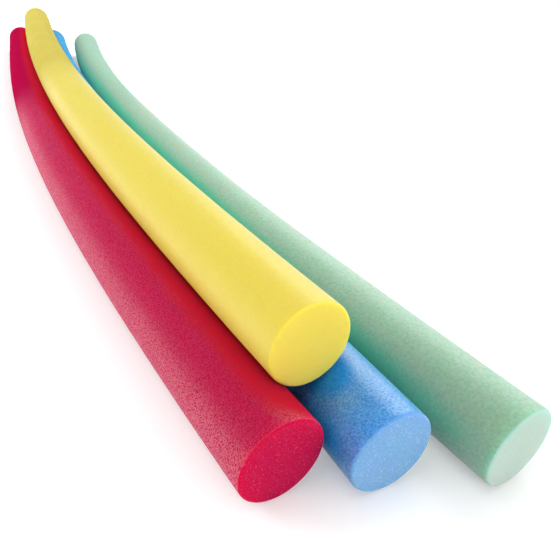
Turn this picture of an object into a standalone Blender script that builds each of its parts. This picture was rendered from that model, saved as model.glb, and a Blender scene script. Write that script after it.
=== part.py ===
"""Four solid foam pool noodles, lying together on a floor.

Each noodle is one extruded rod of closed-cell foam, round and solid right through, with both ends
cut square and the cut edge softened. Foam rods that were packed in a bundle keep a slow bend, so
none of them is straight: the blue noodle sets the bend, the red and the green one lie on the floor
beside it, and the yellow one lies on top, in the valley between the red and the blue.

Metres, +Z up. The floor is z = 0, the near ends face -Y and the noodles run away along +Y.
"""

import math

import bmesh
import bpy
import numpy as np
from mathutils import Matrix, Vector

# The foam rod
NOODLE_DIAMETER = 0.065
NOODLE_LENGTH = 1.600
CUT_EDGE_RADIUS = 0.0025

# How closely two noodles come together, and how softly a gap runs out into touch
CONTACT_GAP = 0.0003
CONTACT_EASE = 0.0015

# Bend of the blue noodle: its heading in degrees from +Y towards -X, at each station of its length
STATION_SHARES = (0.0, 1 / 3, 2 / 3, 1.0)
BLUE_HEADINGS = (5.0, 4.0, -0.5, -4.4)

# Open gap between the sides of the red and the blue noodle, at the same stations
RED_GAP_NEAR = 0.003
RED_GAP_THIRD = 0.022
RED_GAP_TWO_THIRDS = 0.0155
RED_GAP_FAR = 0.019

# The same for the green noodle, which presses against the blue one where its gap falls below zero
GREEN_GAP_NEAR = 0.019
GREEN_GAP_THIRD = -0.0025
GREEN_GAP_TWO_THIRDS = 0.004
GREEN_GAP_FAR = 0.024

# How far along the blue noodle the near end of each other noodle lies
RED_START = 0.0205
GREEN_START = -0.029
YELLOW_START = 0.056

# Fineness of the surface: flats round the rod, spans along it, steps in a cut edge
ROUND_FLATS = 40
LENGTH_SPANS = 26
CUT_EDGE_STEPS = 4
SMOOTH_ANGLE = math.radians(40)
LAY_POINTS = 401
WELD_DISTANCE = 0.00001

# Foam colours, linear, and the dull skin that all four share
RED_FOAM = (0.552, 0.016, 0.072, 1.0)
YELLOW_FOAM = (0.871, 0.715, 0.085, 1.0)
BLUE_FOAM = (0.075, 0.280, 0.640, 1.0)
GREEN_FOAM = (0.275, 0.560, 0.370, 1.0)
FOAM_ROUGHNESS = 0.85

# Sizes that follow from those above
RADIUS = NOODLE_DIAMETER / 2
TOUCHING = NOODLE_DIAMETER + CONTACT_GAP
FLOOR_HEIGHT = RADIUS * math.cos(math.pi / ROUND_FLATS)
OVERHANG = NOODLE_DIAMETER + max(abs(RED_START), abs(GREEN_START), abs(YELLOW_START))


def clear_scene():
    """Start from an empty file."""
    for thing in list(bpy.data.objects):
        bpy.data.objects.remove(thing)


def foam_material(name, colour):
    """Dull foam in one colour."""
    material = bpy.data.materials.new(name)
    material.use_nodes = True
    shader = material.node_tree.nodes["Principled BSDF"]
    shader.inputs["Base Color"].default_value = colour
    shader.inputs["Roughness"].default_value = FOAM_ROUGHNESS
    shader.inputs["Metallic"].default_value = 0.0
    return material


def between_stations(values, share):
    """Read a smooth cubic through the values at the four stations."""
    cubic = np.polyfit(STATION_SHARES, values, len(STATION_SHARES) - 1)
    return np.polyval(cubic, share)


def spacing(side_gaps, share):
    """Distance between the axes of two neighbours on the floor, never closer than touching."""
    gap = between_stations(side_gaps, share)
    open_gap = (gap + np.hypot(gap, CONTACT_EASE)) / 2
    return TOUCHING + open_gap


def running_sum(rates, step):
    """Add up rates along evenly spaced points, by the trapezium rule."""
    middles = (rates[1:] + rates[:-1]) / 2
    return np.concatenate(([0.0], np.cumsum(middles * step)))


def lay_lines():
    """Axes of the four noodles as they lie, each a list of points, with the blue one's own measure."""
    along = np.linspace(-OVERHANG, NOODLE_LENGTH + OVERHANG, LAY_POINTS)
    share = along / NOODLE_LENGTH
    heading = np.radians(between_stations(BLUE_HEADINGS, share))
    step = along[1] - along[0]

    # The blue axis starts from the origin of the plan
    across = running_sum(-np.sin(heading), step)
    forward = running_sum(np.cos(heading), step)
    across -= np.interp(0.0, along, across)
    forward -= np.interp(0.0, along, forward)
    floor = np.full(LAY_POINTS, FLOOR_HEIGHT)
    blue = np.column_stack((across, forward, floor))
    rightward = np.column_stack((np.cos(heading), np.sin(heading), np.zeros(LAY_POINTS)))

    # Its two neighbours keep their spacing square to it
    red_gaps = (RED_GAP_NEAR, RED_GAP_THIRD, RED_GAP_TWO_THIRDS, RED_GAP_FAR)
    green_gaps = (GREEN_GAP_NEAR, GREEN_GAP_THIRD, GREEN_GAP_TWO_THIRDS, GREEN_GAP_FAR)
    red_spacing = spacing(red_gaps, share)
    red = blue - rightward * red_spacing[:, None]
    green = blue + rightward * spacing(green_gaps, share)[:, None]

    # The yellow one touches both of the noodles that carry it, so the wider they part, the lower it sinks
    seat_rise = np.sqrt(TOUCHING ** 2 - (red_spacing / 2) ** 2)
    yellow = (red + blue) / 2
    yellow[:, 2] += seat_rise

    return along, {"red": red, "yellow": yellow, "blue": blue, "green": green}


def axis_reader(along, line, start):
    """Give a function from a distance along one noodle to its place and its three directions there."""
    pieces = np.linalg.norm(np.diff(line, axis=0), axis=1)
    arc = np.concatenate(([0.0], np.cumsum(pieces)))
    first = np.interp(start, along, arc)
    tangents = np.gradient(line, arc, axis=0)

    def frame_at(distance):
        place = Vector([np.interp(first + distance, arc, line[:, k]) for k in range(3)])
        ahead = Vector([np.interp(first + distance, arc, tangents[:, k]) for k in range(3)]).normalized()
        side = ahead.cross(Vector((0.0, 0.0, 1.0))).normalized()
        return place, side, ahead, side.cross(ahead)

    return frame_at


def straight_rod():
    """Turn the foam rod about +Y from half of its outline, from the near cut face to the far one."""
    inner = RADIUS - CUT_EDGE_RADIUS
    outline = [Vector((0.0, 0.0, 0.0))]
    for step in range(CUT_EDGE_STEPS + 1):
        turn = math.pi / 2 * step / CUT_EDGE_STEPS
        depth = CUT_EDGE_RADIUS * (1 - math.cos(turn))
        outline.append(Vector((inner + CUT_EDGE_RADIUS * math.sin(turn), depth, 0.0)))
    far_half = [Vector((point.x, NOODLE_LENGTH - point.y, 0.0)) for point in reversed(outline)]
    straight = NOODLE_LENGTH - 2 * CUT_EDGE_RADIUS
    for span in range(1, LENGTH_SPANS):
        outline.append(Vector((RADIUS, CUT_EDGE_RADIUS + straight * span / LENGTH_SPANS, 0.0)))
    outline += far_half

    rod = bmesh.new()
    corners = [rod.verts.new(point) for point in outline]
    edges = [rod.edges.new(pair) for pair in zip(corners, corners[1:])]
    bmesh.ops.spin(rod, geom=corners + edges, cent=(0.0, 0.0, 0.0), axis=(0.0, 1.0, 0.0),
                   angle=2 * math.pi, steps=ROUND_FLATS, use_merge=True)
    bmesh.ops.remove_doubles(rod, verts=rod.verts, dist=WELD_DISTANCE)

    # A turn of half a flat puts a flat, not a corner, on the floor
    half_flat = Matrix.Rotation(math.pi / ROUND_FLATS, 3, (0.0, 1.0, 0.0))
    bmesh.ops.rotate(rod, verts=rod.verts, cent=(0.0, 0.0, 0.0), matrix=half_flat)
    bmesh.ops.recalc_face_normals(rod, faces=rod.faces)
    return rod


def make_noodle(name, colour, frame_at, parent):
    """Bend a straight rod along its axis, with the object's origin in the middle of its length."""
    middle = frame_at(NOODLE_LENGTH / 2)[0]
    rod = straight_rod()
    for corner in rod.verts:
        place, side, ahead, up = frame_at(corner.co.y)
        corner.co = place + side * corner.co.x + up * corner.co.z - middle

    mesh = bpy.data.meshes.new(name)
    rod.to_mesh(mesh)
    rod.free()
    mesh.shade_smooth()
    mesh.set_sharp_from_angle(angle=SMOOTH_ANGLE)
    mesh.materials.append(foam_material(name + "_foam", colour))

    noodle = bpy.data.objects.new(name, mesh)
    bpy.context.scene.collection.objects.link(noodle)
    noodle.location = middle
    noodle.parent = parent
    return noodle


def main():
    clear_scene()
    datum = bpy.data.objects.new("set_datum", None)
    bpy.context.scene.collection.objects.link(datum)

    along, lines = lay_lines()
    pieces = (
        ("red_noodle", RED_FOAM, lines["red"], RED_START),
        ("yellow_noodle", YELLOW_FOAM, lines["yellow"], YELLOW_START),
        ("blue_noodle", BLUE_FOAM, lines["blue"], 0.0),
        ("green_noodle", GREEN_FOAM, lines["green"], GREEN_START),
    )
    noodles = []
    for name, colour, line, start in pieces:
        noodles.append(make_noodle(name, colour, axis_reader(along, line, start), datum))

    # The datum moves the whole set so that the origin is under the middle of its footprint
    corners = [noodle.location + vertex.co for noodle in noodles for vertex in noodle.data.vertices]
    low = Vector([min(corner[k] for corner in corners) for k in range(3)])
    high = Vector([max(corner[k] for corner in corners) for k in range(3)])
    centre = (low + high) / 2
    datum.location = (-centre.x, -centre.y, 0.0)
    bpy.context.view_layer.update()

    size = high - low
    print("set of", len(noodles), "noodles, box", [round(length, 4) for length in size])
    for noodle in noodles:
        print(noodle.name, "middle at", [round(value, 4) for value in noodle.matrix_world.translation])


main()
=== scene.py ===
# %% [markdown]
# # Foam pool noodles
#
# This lesson dresses four foam pool noodles that lie together on a pale floor. The construction
# model gives their real size and place: this script reads it first and never moves it. Each noodle
# is then modelled again, finely, as what it is: a soft extruded rod with a pebbled skin and a
# smoother cut face, and it takes the place of its plain solid.

import math

import bmesh
import bpy
import numpy as np
from mathutils import Matrix, Vector, noise


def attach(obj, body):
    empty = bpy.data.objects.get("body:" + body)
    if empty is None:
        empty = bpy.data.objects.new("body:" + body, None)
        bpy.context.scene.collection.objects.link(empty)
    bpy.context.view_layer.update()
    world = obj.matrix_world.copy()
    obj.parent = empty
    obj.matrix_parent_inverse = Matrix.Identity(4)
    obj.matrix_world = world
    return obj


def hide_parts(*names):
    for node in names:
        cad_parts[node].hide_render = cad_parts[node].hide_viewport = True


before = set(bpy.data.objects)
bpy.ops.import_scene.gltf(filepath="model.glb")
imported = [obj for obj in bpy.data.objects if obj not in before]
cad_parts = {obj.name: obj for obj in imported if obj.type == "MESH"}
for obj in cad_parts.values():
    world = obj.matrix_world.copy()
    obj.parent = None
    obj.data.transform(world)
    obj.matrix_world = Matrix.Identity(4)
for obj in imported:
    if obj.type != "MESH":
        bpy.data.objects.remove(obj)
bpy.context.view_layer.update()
print("nodes:", sorted(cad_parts))

# %% [markdown]
# ## The camera
#
# The picture was taken from close by, low over the near ends, so the noodles shrink quickly towards
# their far ends. A perspective camera is set by where it stands, where it looks and how far it is
# rolled. It could also track a target, but a heading and a pitch say plainly where it looks. Its
# focal length is given in picture widths. The picture is a part cut from a wider one, so its middle
# lies to the right of the lens axis and below it: the camera's shift takes that up.

# %% Place the camera
CAMERA_PLACE = Vector((-0.1899, -1.0117, 0.3022))
CAMERA_HEADING = math.radians(25.64)
CAMERA_PITCH = math.radians(26.27)
CAMERA_ROLL = math.radians(7.24)
FOCAL_WIDTHS = 1.0244
PICTURE_RIGHT_SHARE = 0.0639
PICTURE_DOWN_SHARE = 0.0620
SENSOR_WIDTH = 36.0
NEAREST_SEEN = 0.01


def camera_turn(heading, pitch, roll):
    """Turn a camera from straight down to its heading right of +Y, its downward pitch and its roll."""
    aim = Matrix.Rotation(-heading, 4, "Z") @ Matrix.Rotation(math.pi / 2 - pitch, 4, "X")
    return aim @ Matrix.Rotation(roll, 4, "Z")


camera_data = bpy.data.cameras.new("camera")
camera_data.sensor_width = SENSOR_WIDTH
camera_data.lens = FOCAL_WIDTHS * SENSOR_WIDTH
camera_data.shift_x = PICTURE_RIGHT_SHARE
camera_data.shift_y = -PICTURE_DOWN_SHARE
camera_data.clip_start = NEAREST_SEEN
camera = bpy.data.objects.new("camera", camera_data)
camera.matrix_world = (Matrix.Translation(CAMERA_PLACE)
                       @ camera_turn(CAMERA_HEADING, CAMERA_PITCH, CAMERA_ROLL))
bpy.context.scene.collection.objects.link(camera)
bpy.context.scene.camera = camera
print("lens:", round(camera_data.lens, 2), "mm")

# %% [markdown]
# ## Trees of nodes
#
# In Blender a material or a sky is a tree of nodes, joined by links between their sockets. A few
# helpers keep the trees short to read: each adds one kind of node, feeds it, and gives back the
# socket that comes out.

# %% Helpers for node trees
OPAQUE = 1.0


def feed(tree, value, socket):
    """Give a socket its value: a link where the value is another socket, else the value itself."""
    if isinstance(value, bpy.types.NodeSocket):
        tree.links.new(value, socket)
    else:
        socket.default_value = value


def new_node(tree, kind, **inputs):
    """Add a node and set the sockets that are named, such as Roughness=0.5."""
    node = tree.nodes.new(kind)
    for name, value in inputs.items():
        node.inputs[name].default_value = value
    return node


def math_node(tree, operation, first, second, clamp=False):
    """Combine two values, each a socket or a number."""
    node = tree.nodes.new("ShaderNodeMath")
    node.operation = operation
    node.use_clamp = clamp
    feed(tree, first, node.inputs[0])
    feed(tree, second, node.inputs[1])
    return node.outputs[0]


def times(tree, product, *factors):
    """Multiply values with each other, each a socket or a number."""
    for factor in factors:
        product = math_node(tree, "MULTIPLY", product, factor)
    return product


def mix_colour(tree, factor, first, second):
    """Mix two colours, each a socket or red, green and blue, by a socket."""
    node = tree.nodes.new("ShaderNodeMix")
    node.data_type = "RGBA"
    tree.links.new(factor, node.inputs["Factor"])
    for name, colour in (("A", first), ("B", second)):
        socket = next(s for s in node.inputs if s.name == name and s.type == "RGBA")
        plain = not isinstance(colour, bpy.types.NodeSocket)
        feed(tree, (*colour, OPAQUE) if plain else colour, socket)
    return next(s for s in node.outputs if s.type == "RGBA")


def map_range(tree, value, low, high, to_low=0.0, to_high=1.0):
    """Spread the part of a value between low and high over a new range, softly at both ends."""
    node = tree.nodes.new("ShaderNodeMapRange")
    node.interpolation_type = "SMOOTHSTEP"
    tree.links.new(value, node.inputs["Value"])
    limits = {"From Min": low, "From Max": high, "To Min": to_low, "To Max": to_high}
    for name, number in limits.items():
        node.inputs[name].default_value = number
    return node.outputs[0]


def seen_or_mirrored(tree):
    """One for a ray from the camera, a mirror or a clear surface, zero for light on dull surfaces."""
    path = tree.nodes.new("ShaderNodeLightPath")
    seen = path.outputs["Is Camera Ray"]
    for ray in ("Is Glossy Ray", "Is Transmission Ray"):
        seen = math_node(tree, "ADD", seen, path.outputs[ray], clamp=True)
    return seen


# %% [markdown]
# ## Floor and light
#
# Foam is dull, so its form shows only through soft shading. A low lamp behind on the left lights the
# long flanks, a higher one behind on the right draws the pale edges, and weak lamps in front and
# above fill the rest. Sun lamps with a wide angle are used, because they light the whole length
# evenly and still throw soft shadows. A pale floor throws light back up under the rods.
#
# The camera sees floor and surroundings as white, which a test on Light Path's rays gives without
# any more light on the foam. What the foam mirrors is white at the floor, grey at the walls and dim
# above.

# %% Floor
WHITE = (1.0, 1.0, 1.0, OPAQUE)
FLOOR_SIZE = 14.0
FLOOR_COLOUR = (0.80, 0.80, 0.80, OPAQUE)
FLOOR_LIFT = 0.34


def floor_material():
    """Pale matt floor, lifted towards white only where it is seen, so that it keeps its shadow."""
    material = bpy.data.materials.new("floor")
    material.use_nodes = True
    tree = material.node_tree
    tree.nodes.clear()
    dull = new_node(tree, "ShaderNodeBsdfDiffuse", Color=FLOOR_COLOUR)
    lift = new_node(tree, "ShaderNodeEmission", Color=WHITE)
    feed(tree, times(tree, seen_or_mirrored(tree), FLOOR_LIFT), lift.inputs["Strength"])
    both = tree.nodes.new("ShaderNodeAddShader")
    tree.links.new(dull.outputs[0], both.inputs[0])
    tree.links.new(lift.outputs[0], both.inputs[1])
    output = tree.nodes.new("ShaderNodeOutputMaterial")
    tree.links.new(both.outputs[0], output.inputs["Surface"])
    return material


floor_shape = bmesh.new()
bmesh.ops.create_grid(floor_shape, x_segments=1, y_segments=1, size=FLOOR_SIZE / 2)
floor_mesh = bpy.data.meshes.new("floor")
floor_shape.to_mesh(floor_mesh)
floor_shape.free()
floor_mesh.materials.append(floor_material())
floor = bpy.data.objects.new("floor", floor_mesh)
bpy.context.scene.collection.objects.link(floor)
print("floor:", FLOOR_SIZE, "m wide")

# %% Sky
SKY_COLOUR = (0.95, 0.97, 1.0, OPAQUE)
SKY_STRENGTH = 0.02
HORIZON, WALL_FOOT, CEILING = 0.0, 0.12, 0.60
WALL_LEVEL, CEILING_LEVEL = 0.38, 0.12


def studio_surroundings():
    """Faint even light. The camera sees white, and the foam mirrors grey walls and a dim ceiling."""
    world = bpy.data.worlds.new("studio")
    world.use_nodes = True
    tree = world.node_tree
    tree.nodes.clear()
    light = new_node(tree, "ShaderNodeBackground", Color=SKY_COLOUR, Strength=SKY_STRENGTH)
    white = new_node(tree, "ShaderNodeBackground", Color=WHITE)
    towards = tree.nodes.new("ShaderNodeSeparateXYZ")
    tree.links.new(tree.nodes.new("ShaderNodeTexCoord").outputs["Generated"], towards.inputs[0])
    height = towards.outputs["Z"]
    walls = map_range(tree, height, HORIZON, WALL_FOOT, 1.0, WALL_LEVEL)
    shade = map_range(tree, height, WALL_FOOT, CEILING, 1.0, CEILING_LEVEL / WALL_LEVEL)
    mirrored = times(tree, walls, shade)
    camera_ray = tree.nodes.new("ShaderNodeLightPath").outputs["Is Camera Ray"]
    feed(tree, math_node(tree, "MAXIMUM", mirrored, camera_ray), white.inputs["Strength"])
    mix = tree.nodes.new("ShaderNodeMixShader")
    tree.links.new(seen_or_mirrored(tree), mix.inputs[0])
    tree.links.new(light.outputs[0], mix.inputs[1])
    tree.links.new(white.outputs[0], mix.inputs[2])
    output = tree.nodes.new("ShaderNodeOutputWorld")
    tree.links.new(mix.outputs[0], output.inputs["Surface"])
    return world


bpy.context.scene.world = studio_surroundings()
bpy.context.scene.view_settings.view_transform = "Standard"
print("sky:", bpy.context.scene.world.name, "with strength", SKY_STRENGTH)

# %% Lamps
# Name, heading from +X and height above the floor in degrees, level of white foam that faces the
# lamp, width of the lamp in degrees, and whether the foam's haze mirrors it
SOFT_BOXES = (
    ("back_left_box", 138, 17, 0.70, 36, False),
    ("back_right_box", 42, 33, 0.41, 50, True),
    ("top_right_box", 40, 68, 0.26, 60, False),
    ("front_box", 274, 14, 0.43, 50, False),
    ("front_right_box", 318, 20, 0.32, 50, False),
    ("high_left_box", 165, 55, 0.42, 50, False),
)
QUARTER_TURN = 90

for name, heading, height, level, width, mirrored in SOFT_BOXES:
    box_data = bpy.data.lights.new(name, "SUN")
    box_data.energy = level * math.pi
    box_data.angle = math.radians(width)
    box = bpy.data.objects.new(name, box_data)
    around = Matrix.Rotation(math.radians(heading - QUARTER_TURN), 4, "Z")
    box.matrix_world = around @ Matrix.Rotation(math.radians(height - QUARTER_TURN), 4, "X")
    box.visible_glossy = mirrored
    bpy.context.scene.collection.objects.link(box)
    print(name, "from", heading, "degrees, level", level)

# %% [markdown]
# ## Where each noodle lies
#
# The construction solid of a noodle is a rod with rings of corners. The middle of each ring is a
# point of the rod's axis, and a corner's distance from it is the rod's radius. Reading both from the
# solids, and not typing them again, keeps the fine noodle in its place if the solid is ever laid
# another way or made thicker. A smooth curve is then drawn through the points with cubic pieces, so
# that the fine rod has no corners between the rings.

# %% Read the axis and the radius of a rod
NODES = ("red_noodle", "yellow_noodle", "blue_noodle", "green_noodle")
WELD_DISTANCE = 0.00001
RING_BREAK = 0.02
SQUARE_ON = math.cos(math.radians(5))
RADIUS_DECIMALS = 4


def cut_face_middle(solid, outward):
    """Middle of a flat cut face: of the corners of all faces that look squarely outward."""
    flat = [corner for corner in solid.verts
            if any(face.normal.dot(outward) > SQUARE_ON for face in corner.link_faces)]
    return sum((corner.co for corner in flat), Vector()) / len(flat)


def read_rod(node):
    """Points along a rod's axis, from its near cut face to its far one, and the rod's radius."""
    solid = bmesh.new()
    solid.from_mesh(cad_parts[node].data)
    bmesh.ops.remove_doubles(solid, verts=solid.verts, dist=WELD_DISTANCE)
    solid.normal_update()
    corners = sorted((corner.co.copy() for corner in solid.verts), key=lambda place: place.y)
    rings = [[corners[0]]]
    for corner in corners[1:]:
        if corner.y - rings[-1][-1].y > RING_BREAK:
            rings.append([])
        rings[-1].append(corner)
    middles = [sum(ring, Vector()) / len(ring) for ring in rings]
    inner = zip(rings[1:-1], middles[1:-1])
    radius = np.median([(corner - middle).length for ring, middle in inner for corner in ring])
    middles[0] = cut_face_middle(solid, (middles[0] - middles[1]).normalized())
    middles[-1] = cut_face_middle(solid, (middles[-1] - middles[-2]).normalized())
    solid.free()
    return np.array(middles), radius


axes, radii = {}, []
for node in NODES:
    axis, radius = read_rod(node)
    axes[node] = axis
    radii.append(radius)
    print(node, "axis:", len(axis), "points from", axis[0].round(3), "to", axis[-1].round(3))
RADIUS = round(float(np.mean(radii)), RADIUS_DECIMALS)
print("radius:", RADIUS, "m")

# %% Follow an axis
UP = np.array((0.0, 0.0, 1.0))


def arc_lengths(points):
    """Distance along a line of points, from its start to each."""
    return np.concatenate(([0.0], np.cumsum(np.linalg.norm(np.diff(points, axis=0), axis=1))))


def follow(points, distance):
    """Places on the axis and the directions sideways and up from it, at an array of distances."""
    arc = arc_lengths(points)
    slopes = np.gradient(points, arc, axis=0, edge_order=2)
    piece = np.clip(np.searchsorted(arc, distance, side="right") - 1, 0, len(arc) - 2)
    span = (arc[piece + 1] - arc[piece])[:, None]
    t = (distance - arc[piece])[:, None] / span
    start, end = points[piece], points[piece + 1]
    leave, arrive = slopes[piece] * span, slopes[piece + 1] * span
    place = ((2 * t**3 - 3 * t**2 + 1) * start + (t**3 - 2 * t**2 + t) * leave
             + (3 * t**2 - 2 * t**3) * end + (t**3 - t**2) * arrive)
    ahead = ((6 * t**2 - 6 * t) * start + (3 * t**2 - 4 * t + 1) * leave
             + (6 * t - 6 * t**2) * end + (3 * t**2 - 2 * t) * arrive)
    ahead /= np.linalg.norm(ahead, axis=1)[:, None]
    side = np.cross(ahead, UP)
    side /= np.linalg.norm(side, axis=1)[:, None]
    return place, side, np.cross(side, ahead)


noodle_length = float(np.mean([arc_lengths(axis)[-1] for axis in axes.values()]))
print("length along the axis:", round(noodle_length, 4), "m")

# %% [markdown]
# ## The foam rod
#
# A noodle is extruded and then cut square with a hot wire or a blade, which leaves a flat face and
# an edge that rounds over by a few millimetres. It could be a curve with a round bevel, but a mesh
# lets the spans be short where the camera is close. The rod starts as a cylinder with many sides.
# Its two rims are bevelled, its cut faces get rings by insetting, and its side is cut across into
# short spans, shorter at the near end.

# %% Sizes of the rod
CUT_EDGE = 0.0024
SIDES = 128
EDGE_STEPS = 6
FACE_RINGS = 20
NEAR_ZONE = 0.16
NEAR_SPAN = 0.0016
FAR_SPAN = 0.0042


def lengthwise_edges(rod, low, high):
    """Edges that run along the rod between two distances from its near face."""
    found = []
    for edge in rod.edges:
        first, second = sorted(corner.co.y for corner in edge.verts)
        inside = first > low - WELD_DISTANCE and second < high + WELD_DISTANCE
        if inside and second - first > CUT_EDGE:
            found.append(edge)
    return found


# %% Build the straight rod
def straight_rod(length):
    """Fine straight rod along +Y, from the near cut face at zero."""
    rod = bmesh.new()
    lie_down = Matrix.Translation((0.0, length / 2, 0.0)) @ Matrix.Rotation(-math.pi / 2, 4, "X")
    bmesh.ops.create_cone(rod, cap_ends=True, segments=SIDES, radius1=RADIUS, radius2=RADIUS,
                          depth=length, matrix=lie_down)
    rims = [edge for edge in rod.edges
            if any(len(face.verts) == SIDES for face in edge.link_faces)]
    bmesh.ops.bevel(rod, geom=rims, offset=CUT_EDGE, segments=EDGE_STEPS, profile=0.5,
                    affect="EDGES", material=-1)

    # Rings on the two cut faces, then a fan in the middle
    caps = [face for face in rod.faces if len(face.verts) == SIDES]
    ring_width = (RADIUS - CUT_EDGE) / (FACE_RINGS + 1)
    for cap in caps:
        for _ in range(FACE_RINGS):
            bmesh.ops.inset_region(rod, faces=[cap], thickness=ring_width, use_even_offset=True)
    bmesh.ops.poke(rod, faces=caps)

    # Short spans near the camera and longer ones beyond
    bmesh.ops.bisect_plane(rod, geom=rod.verts[:] + rod.edges[:] + rod.faces[:],
                           plane_co=(0.0, NEAR_ZONE, 0.0), plane_no=(0.0, 1.0, 0.0))
    zones = ((CUT_EDGE, NEAR_ZONE, NEAR_SPAN), (NEAR_ZONE, length - CUT_EDGE, FAR_SPAN))
    for low, high, span in zones:
        bmesh.ops.subdivide_edges(rod, edges=lengthwise_edges(rod, low, high),
                                  cuts=round((high - low) / span) - 1, use_grid_fill=True)
    bmesh.ops.recalc_face_normals(rod, faces=rod.faces)
    return rod


rod = straight_rod(noodle_length)
print("rod:", len(rod.verts), "corners,", len(rod.faces), "faces")

# %% [markdown]
# ## Foam is never quite even
#
# Closed-cell foam swells as it leaves the die, so its skin has slow waves, shallow dimples and,
# close up, a pebble of cells. The coarse part is real shape here, moved into the mesh, so that it
# shows at the edges too, and the finest part is left to the material. Every move is inwards, so
# that rods that touch don't run into each other.

# %% Relief of the skin and of the cut faces
# Size across and greatest depth of each kind, in metres
WAVES = (0.060, 0.00022)
DIMPLES = (0.014, 0.00013)
PEBBLES = (0.0042, 0.00010)
KNIFE_MARKS = (0.020, 0.00020)
OPEN_CELLS = (0.0036, 0.00007)
SEED_STEPS = (3.7, 1.9, 5.3)


def relief(places, seed, kinds):
    """Depth of an uneven surface at each place: the sum of some kinds, each up to its own depth."""
    offset = Vector([seed * step for step in SEED_STEPS])
    total = 0.0
    for size, depth in kinds:
        values = [noise.noise(Vector(place) / size + offset) for place in places]
        total = total + depth * (0.5 + 0.5 * np.array(values))
    return total


def soft_step(share):
    """Ease from zero to one."""
    share = np.clip(share, 0.0, 1.0)
    return share * share * (3 - 2 * share)


def roughened(straight, length, seed):
    """Corner places of the straight rod with foam relief, and how far each belongs to a cut face."""
    end_distance = np.minimum(straight[:, 1], length - straight[:, 1])
    cut_share = 1 - soft_step(end_distance / CUT_EDGE)
    radial = np.linalg.norm(straight[:, (0, 2)], axis=1)
    skin_depth = relief(straight, seed, (WAVES, DIMPLES, PEBBLES))
    face_depth = relief(straight, seed, (KNIFE_MARKS, OPEN_CELLS))
    shaped = straight.copy()
    pull = 1 - skin_depth / RADIUS * (radial / RADIUS)
    shaped[:, (0, 2)] *= pull[:, None]
    inward = np.where(straight[:, 1] < length / 2, 1.0, -1.0)
    shaped[:, 1] += inward * face_depth * cut_share
    return shaped, cut_share


deepest = sum(depth for _, depth in (WAVES, DIMPLES, PEBBLES))
print("deepest relief of the skin:", round(deepest, 5), "m")

# %% [markdown]
# ## Laying the rods
#
# Each straight rod is now laid along its axis: a corner keeps its place across the rod and goes to
# the axis point at its distance. A curve modifier could bend it too, but reckoning the places here
# leaves a plain mesh, with no turn or scale left on the object. Where a rod rests on the floor the
# foam gives a little, so nothing reaches below the floor.
#
# Each corner also gets two attributes that the material reads: how far it belongs to a cut face,
# and its gap to the nearest other noodle, which places painted shade in the folds between noodles.
# The lines that the gap is measured from stop just short of the cut faces, so that a strip of
# painted shade ends where its neighbour does.

# %% How far a place is from the other noodles
AXIS_STEPS = 300
BATCH = 4000
END_INSET = 0.006

axis_lines = {}
for node, axis in axes.items():
    steps = np.linspace(END_INSET, arc_lengths(axis)[-1] - END_INSET, AXIS_STEPS)
    axis_lines[node] = follow(axis, steps)[0]


def gap_to_others(node, places):
    """Distance from each place to the skin of the nearest other noodle, reckoned in batches."""
    others = np.concatenate([line for name, line in axis_lines.items() if name != node])
    gaps = [np.linalg.norm(batch[:, None] - others, axis=2).min(axis=1)
            for batch in np.array_split(places, len(places) // BATCH + 1)]
    return np.concatenate(gaps) - RADIUS


for node, line in axis_lines.items():
    nearest = float(gap_to_others(node, line).min())
    print(node, "axis comes within", round(nearest, 4), "m of another noodle's skin")


# %% Lay one noodle
def lay_noodle(node, seed):
    """A fine foam noodle in the place of its solid."""
    axis = axes[node]
    length = arc_lengths(axis)[-1]
    mesh = bpy.data.meshes.new(node + "_foam")
    rod.to_mesh(mesh)
    straight = np.empty(len(mesh.vertices) * 3)
    mesh.vertices.foreach_get("co", straight)
    straight = straight.reshape(-1, 3)
    straight[:, 1] *= length / noodle_length
    shaped, cut_share = roughened(straight, length, seed)
    place, side, up = follow(axis, shaped[:, 1])
    laid = place + side * shaped[:, 0:1] + up * shaped[:, 2:3]
    laid[:, 2] = np.maximum(laid[:, 2], 0.0)
    mesh.vertices.foreach_set("co", laid.ravel())
    for name, values in (("cut_face", cut_share), ("gap", gap_to_others(node, laid))):
        mesh.attributes.new(name, "FLOAT", "POINT").data.foreach_set("value", values)
    mesh.shade_smooth()
    mesh.update()
    noodle = bpy.data.objects.new(node + "_foam", mesh)
    bpy.context.scene.collection.objects.link(noodle)
    return noodle


# %% [markdown]
# ## Foam as a material
#
# Up close the skin is a fine pebble: rounded grains one to three millimetres across, some of which
# catch the light and look pale, with darker pits between them. A picture of foam could be wrapped
# around the rods, but noise textures have no seam and stay sharp from close by. One node group
# makes that grain for all four colours. A second makes the finer grain of the cut faces, with a few
# bright flecks. Both read Object coordinates, because each noodle's mesh is in its real place and
# size.

# %% Start a node group
def new_group(name, outputs):
    """An empty group that takes coordinates and a grain size, with its two end nodes."""
    group = bpy.data.node_groups.new(name, "ShaderNodeTree")
    group.interface.new_socket("Vector", in_out="INPUT", socket_type="NodeSocketVector")
    group.interface.new_socket("Grain Size", in_out="INPUT", socket_type="NodeSocketFloat")
    for label in outputs:
        group.interface.new_socket(label, in_out="OUTPUT", socket_type="NodeSocketFloat")
    return group, group.nodes.new("NodeGroupInput"), group.nodes.new("NodeGroupOutput")


def in_grains(tree, start):
    """Coordinates counted in grains of the foam, not in metres."""
    scaled = tree.nodes.new("ShaderNodeVectorMath")
    scaled.operation = "SCALE"
    tree.links.new(start.outputs["Vector"], scaled.inputs["Vector"])
    per_metre = math_node(tree, "DIVIDE", 1.0, start.outputs["Grain Size"])
    tree.links.new(per_metre, scaled.inputs["Scale"])
    return scaled.outputs["Vector"]


# %% Clouds, clumps and cells
CLOUD_DETAIL = 3.0
CLUMP_DETAIL, CLUMP_ROUGHNESS = 1.5, 0.6
CELLS_PER_GRAIN = 0.8
CELL_SOFTNESS = 0.35


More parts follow.
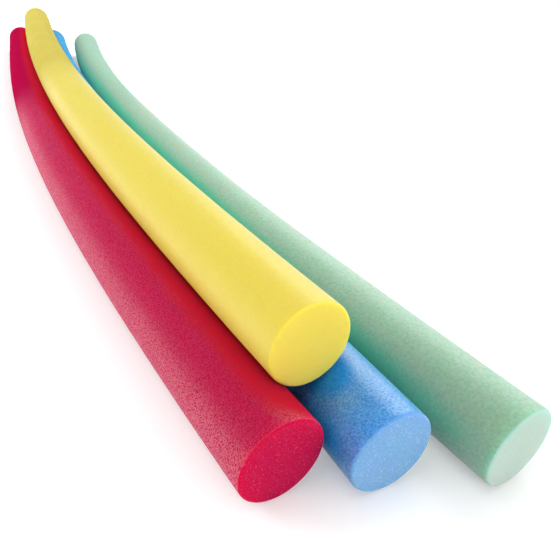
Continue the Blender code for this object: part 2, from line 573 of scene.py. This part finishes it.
def noise_value(tree, vector, scale, detail, roughness=0.5):
    """Cloud noise around one half."""
    node = new_node(tree, "ShaderNodeTexNoise", Scale=scale, Detail=detail, Roughness=roughness)
    tree.links.new(vector, node.inputs["Vector"])
    return node.outputs["Fac"]


def grain_clumps(tree, grains):
    """Uneven clumps of the size of one grain."""
    return noise_value(tree, grains, 1.0, CLUMP_DETAIL, CLUMP_ROUGHNESS)


def cell_distance(tree, grains):
    """Distance from the nearest of many scattered cell middles."""
    node = new_node(tree, "ShaderNodeTexVoronoi", Scale=CELLS_PER_GRAIN, Randomness=1.0)
    node.feature = "SMOOTH_F1"
    node.inputs["Smoothness"].default_value = CELL_SOFTNESS
    tree.links.new(grains, node.inputs["Vector"])
    return node.outputs["Distance"]


# %% Grain of the skin
PATCHES_PER_METRE = 55.0
MOTTLES_PER_METRE = 16.0
DOME_SHARE = 0.35
PATCH_SHARE = 0.15
SPECK_RANGE = (0.58, 0.80)
PIT_RANGE = (0.56, 0.34)
GLOSS_RANGE = (0.36, 0.60)


def skin_grain_group():
    """Pebbled skin: its height, its pale specks, its dark pits, its gloss and its slow mottling."""
    group, start, end = new_group("foam_skin_grain", ["Height", "Specks", "Pits", "Gloss", "Mottle"])
    vector = start.outputs["Vector"]
    grains = in_grains(group, start)
    clumps = grain_clumps(group, grains)
    domes = math_node(group, "SUBTRACT", 1.0, cell_distance(group, grains))
    patches = noise_value(group, vector, PATCHES_PER_METRE, CLOUD_DETAIL)
    bright = math_node(group, "ADD", clumps, times(group, patches, PATCH_SHARE))
    made = {
        "Height": math_node(group, "ADD", clumps, times(group, domes, DOME_SHARE)),
        "Specks": map_range(group, bright, *SPECK_RANGE),
        "Pits": map_range(group, bright, *PIT_RANGE),
        "Gloss": map_range(group, clumps, *GLOSS_RANGE),
        "Mottle": noise_value(group, vector, MOTTLES_PER_METRE, CLOUD_DETAIL),
    }
    for label, socket in made.items():
        group.links.new(socket, end.inputs[label])
    return group


skin_grain = skin_grain_group()
print("skin:", skin_grain.name, "with", len(skin_grain.nodes), "nodes")

# %% Grain of a cut face
OPEN_CELL_SHARE = 0.4
FLECK_RANGE = (0.54, 0.78)


def cut_grain_group():
    """Cut foam: the height of its open cells and its few bright flecks."""
    group, start, end = new_group("cut_face_grain", ["Height", "Flecks"])
    grains = in_grains(group, start)
    clumps = grain_clumps(group, grains)
    cells = cell_distance(group, grains)
    height = math_node(group, "ADD", clumps, times(group, cells, OPEN_CELL_SHARE))
    group.links.new(height, end.inputs["Height"])
    group.links.new(map_range(group, clumps, *FLECK_RANGE), end.inputs["Flecks"])
    return group


cut_grain = cut_grain_group()
print("cut face:", cut_grain.name, "with", len(cut_grain.nodes), "nodes")

# %% [markdown]
# ## Four colours of foam
#
# The colours differ in more than hue. The red and the blue skin show their grain strongly, the
# green one softly, and the yellow one hardly at all. Each colour therefore has its own base, a pale
# speck colour, a deep pit colour and a cut face colour, with shares for how much of each shows.
#
# Light goes into foam and comes out a little way off, each colour by its own distance: that keeps
# the folds between the rods bright and full of colour. A thin coat on the tops of the grains gives
# the dusty pale haze that the skin has where light grazes it. The far halves are darker and have no
# haze. Where noodles lie together, the strips of skin have painted shade: a deeper colour, tinted by
# the light that the neighbour throws back, and no haze.

# %% Foam colours
# Colours are red, green and blue from zero to one. skin is the skin of the near half and deep the
# darker skin of the far half. The colour of the strips where noodles lie together is painted shade,
# tinted by the light that the neighbour throws back. speck and pit are the pale tops and the dark
# hollows of the grain. cut is the cut face, fleck its bright cells and rim the pale ring at its edge,
# which is partly a painted highlight on the rounded edge.
#
# Sizes are in metres. Two gaps to a neighbour give where the strip of painted shade starts and
# where it is full. spread says how far red, green and blue light travel in the foam, and grain is
# the size of one grain.
#
# specks, pits and flecks say how much of each shows. haze is the strength of the haze, and even the
# share of it that also lies between the tops of the grains. bump and cut_bump say how deep the
# relief looks, and haze_ior how strongly the haze mirrors.
FOAMS = {
    "red_noodle": dict(
        skin=(0.430, 0.004, 0.058), speck=(0.490, 0.025, 0.095), pit=(0.330, 0.002, 0.035),
        fold_shade_colour=(0.480, 0.009, 0.028), deep=(0.285, 0.002, 0.032), cut=(0.500, 0.006, 0.058),
        fleck=(0.76, 0.12, 0.22), rim=(0.76, 0.20, 0.32),
        fold_shade_gaps=(0.024, 0.010), spread=(0.040, 0.001, 0.002), grain=0.0010,
        specks=0.2, pits=0.2, flecks=0.9, haze=1.0, even=0.05,
        bump=0.6, cut_bump=0.8, haze_ior=2.0),
    "yellow_noodle": dict(
        skin=(0.690, 0.560, 0.085), speck=(0.710, 0.580, 0.105), pit=(0.670, 0.540, 0.070),
        fold_shade_colour=(0.700, 0.540, 0.060), deep=(0.430, 0.345, 0.065), cut=(0.900, 0.730, 0.115),
        fleck=(0.92, 0.77, 0.18), rim=(0.90, 0.78, 0.22),
        fold_shade_gaps=(0.014, 0.004), spread=(0.012, 0.010, 0.003), grain=0.0026,
        specks=0.4, pits=0.4, flecks=0.5, haze=1.0, even=0.75,
        bump=0.12, cut_bump=0.2, haze_ior=1.5),
    "blue_noodle": dict(
        skin=(0.050, 0.310, 0.720), speck=(0.140, 0.450, 0.850), pit=(0.010, 0.180, 0.530),
        fold_shade_colour=(0.028, 0.290, 0.800), deep=(0.050, 0.290, 0.670), cut=(0.215, 0.440, 0.775),
        fleck=(0.50, 0.72, 0.95), rim=(0.47, 0.66, 0.90),
        fold_shade_gaps=(0.013, 0.004), spread=(0.001, 0.004, 0.012), grain=0.0014,
        specks=0.9, pits=0.9, flecks=1.0, haze=1.0, even=0.60,
        bump=1.2, cut_bump=1.8, haze_ior=2.1),
    "green_noodle": dict(
        skin=(0.320, 0.492, 0.362), speck=(0.385, 0.535, 0.420), pit=(0.250, 0.445, 0.318),
        fold_shade_colour=(0.085, 0.590, 0.340), deep=(0.260, 0.448, 0.325), cut=(0.470, 0.610, 0.530),
        fleck=(0.57, 0.70, 0.63), rim=(0.48, 0.60, 0.54),
        fold_shade_gaps=(0.028, 0.011), spread=(0.002, 0.025, 0.016), grain=0.0025,
        specks=0.8, pits=0.8, flecks=0.25, haze=0.8, even=0.60,
        bump=0.35, cut_bump=0.3, haze_ior=1.6),
}
print("foams:", ", ".join(FOAMS))

# %% [markdown]
# ## Putting the foam together
#
# The material starts with masks that run from zero to one: on the cut face or on the skin, at the
# rim of the cut, on the near half, and in the strips of painted shade where noodles lie together. The
# cut face and the gap to a neighbour come from the mesh's attributes, and the near half from the
# place along the noodle. Colour, haze and relief are then built one after the other from the two
# grain groups and these masks.

# %% Masks
CUT_RANGE = (0.30, 0.75)
RIM_RANGE = (0.05, 0.40)

# Places along Y, in metres: the far look, darker and without haze, lies beyond the first, and the
# near look lies on the near side of the second
FAR_LOOK_FROM, NEAR_LOOK_TO = 0.10, -0.14


def attribute_value(tree, name):
    """A number that the mesh carries at each corner."""
    node = tree.nodes.new("ShaderNodeAttribute")
    node.attribute_name = name
    return node.outputs["Fac"]


def foam_masks(tree, vector, fold_shade_gaps):
    """Where the foam is cut, skin, rim, on the near half or in painted fold shade."""
    cut_face = attribute_value(tree, "cut_face")
    on_cut = map_range(tree, cut_face, *CUT_RANGE)
    on_skin = math_node(tree, "SUBTRACT", 1.0, on_cut)
    along = tree.nodes.new("ShaderNodeSeparateXYZ")
    tree.links.new(vector, along.inputs[0])
    return {
        "cut": on_cut,
        "skin": on_skin,
        "rim": times(tree, map_range(tree, cut_face, *RIM_RANGE), on_skin),
        # The near half, by its place along the noodle; the far half is darker and has no haze
        "near_half": map_range(tree, along.outputs["Y"], FAR_LOOK_FROM, NEAR_LOOK_TO),
        # Strips where noodles lie together, which get painted shade
        "fold_shade": map_range(tree, attribute_value(tree, "gap"), *fold_shade_gaps),
    }


# %% Colour of the foam
# Share of the pale specks that shows in the painted shade of the folds
FOLD_SHADE_SPECK_SHARE = 0.4
MOTTLE_RANGE = (0.35, 0.65)
MOTTLE_SHARE = 0.08
RIM_SHARE = 0.20


def foam_colour(tree, look, masks, skin, face):
    """Skin with pits, specks and painted fold shade; cut face with flecks; pale rim, partly painted
    highlight.
    """
    # The folds where noodles lie together have painted shade: fewer pale specks and a deeper colour
    weaker = map_range(tree, masks["fold_shade"], 0.0, 1.0, 1.0, FOLD_SHADE_SPECK_SHARE)
    specks = times(tree, skin.outputs["Specks"], look["specks"], weaker)
    pits = times(tree, skin.outputs["Pits"], look["pits"])
    flecks = times(tree, face.outputs["Flecks"], look["flecks"])
    # The far half takes its darker colour
    skin_colour = mix_colour(tree, masks["near_half"], look["deep"], look["skin"])
    # Painted shade in the folds, tinted by the light that the neighbour throws back
    skin_colour = mix_colour(tree, masks["fold_shade"], skin_colour, look["fold_shade_colour"])
    skin_colour = mix_colour(tree, pits, skin_colour, look["pit"])
    skin_colour = mix_colour(tree, specks, skin_colour, look["speck"])
    cut_colour = mix_colour(tree, flecks, look["cut"], look["fleck"])
    colour = mix_colour(tree, masks["cut"], skin_colour, cut_colour)
    mottle = times(tree, map_range(tree, skin.outputs["Mottle"], *MOTTLE_RANGE), MOTTLE_SHARE)
    colour = mix_colour(tree, mottle, colour, look["pit"])
    # The pale rim at the cut's edge is partly a painted highlight on the rounded edge
    return mix_colour(tree, times(tree, masks["rim"], RIM_SHARE), colour, look["rim"])


# %% Haze and relief of the foam
GRAIN_RELIEF_SHARE = 0.30


def foam_haze(tree, look, masks, skin):
    """Grain tops shine a little, but not on the far half, in painted fold shade or on cut faces."""
    haze = map_range(tree, skin.outputs["Gloss"], 0.0, 1.0, look["even"], 1.0)
    # No haze in the painted shade of the folds
    outside_fold_shade = math_node(tree, "SUBTRACT", 1.0, masks["fold_shade"])
    return times(tree, haze, masks["near_half"], masks["skin"], outside_fold_shade, look["haze"])


def foam_normal(tree, look, masks, skin, face):
    """Fine relief: pebbles on the skin and open cells on the cut face."""
    skin_height = times(tree, skin.outputs["Height"], masks["skin"], look["bump"])
    cut_height = times(tree, face.outputs["Height"], masks["cut"], look["cut_bump"])
    depth = look["grain"] * GRAIN_RELIEF_SHARE
    bump = new_node(tree, "ShaderNodeBump", Strength=1.0, Distance=depth)
    tree.links.new(math_node(tree, "ADD", skin_height, cut_height), bump.inputs["Height"])
    return bump.outputs["Normal"]


# %% The foam material
CUT_GRAIN_SHARE = 0.8
SKIN_ROUGHNESS = 0.75
CUT_ROUGHNESS = 0.90
SPECULAR_LEVEL = 0.0
SPREAD_SHARE = 1.0
HAZE_ROUGHNESS = 0.40


def placed_group(tree, group, vector, grain):
    """Put a grain group into a material and give it its coordinates and its grain size."""
    node = tree.nodes.new("ShaderNodeGroup")
    node.node_tree = group
    node.inputs["Grain Size"].default_value = grain
    tree.links.new(vector, node.inputs["Vector"])
    return node


def foam_material(name, look):
    """Foam with a grainy skin and smoother cut faces."""
    material = bpy.data.materials.new(name)
    material.use_nodes = True
    tree = material.node_tree
    shader = tree.nodes["Principled BSDF"]
    vector = tree.nodes.new("ShaderNodeTexCoord").outputs["Object"]
    masks = foam_masks(tree, vector, look["fold_shade_gaps"])
    skin = placed_group(tree, skin_grain, vector, look["grain"])
    face = placed_group(tree, cut_grain, vector, look["grain"] * CUT_GRAIN_SHARE)
    sockets = {
        "Base Color": foam_colour(tree, look, masks, skin, face),
        "Roughness": map_range(tree, masks["cut"], 0.0, 1.0, SKIN_ROUGHNESS, CUT_ROUGHNESS),
        "Normal": foam_normal(tree, look, masks, skin, face),
        "Coat Weight": foam_haze(tree, look, masks, skin),
        "Coat Roughness": HAZE_ROUGHNESS,
        "Coat IOR": look["haze_ior"],
        "Specular IOR Level": SPECULAR_LEVEL,
        "Subsurface Weight": SPREAD_SHARE,
        "Subsurface Scale": 1.0,
        "Subsurface Radius": look["spread"],
    }
    for label, value in sockets.items():
        feed(tree, value, shader.inputs[label])
    return material


# %% [markdown]
# ## The four noodles
#
# All four come from the same straight rod, each laid along its own axis with its own seed, so that
# no two have the same dimples. Each takes the place of its plain solid and moves with that solid's
# body.

# %% Make the noodles
BODIES = {
    "red_noodle": "red",
    "yellow_noodle": "yellow",
    "blue_noodle": "blue",
    "green_noodle": "green",
}
for seed, node in enumerate(NODES, start=1):
    noodle = lay_noodle(node, seed)
    noodle.data.materials.append(foam_material(BODIES[node] + "_closed_cell_foam", FOAMS[node]))
    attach(noodle, BODIES[node])
    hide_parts(node)
    print(noodle.name, len(noodle.data.polygons), "faces")
rod.free()
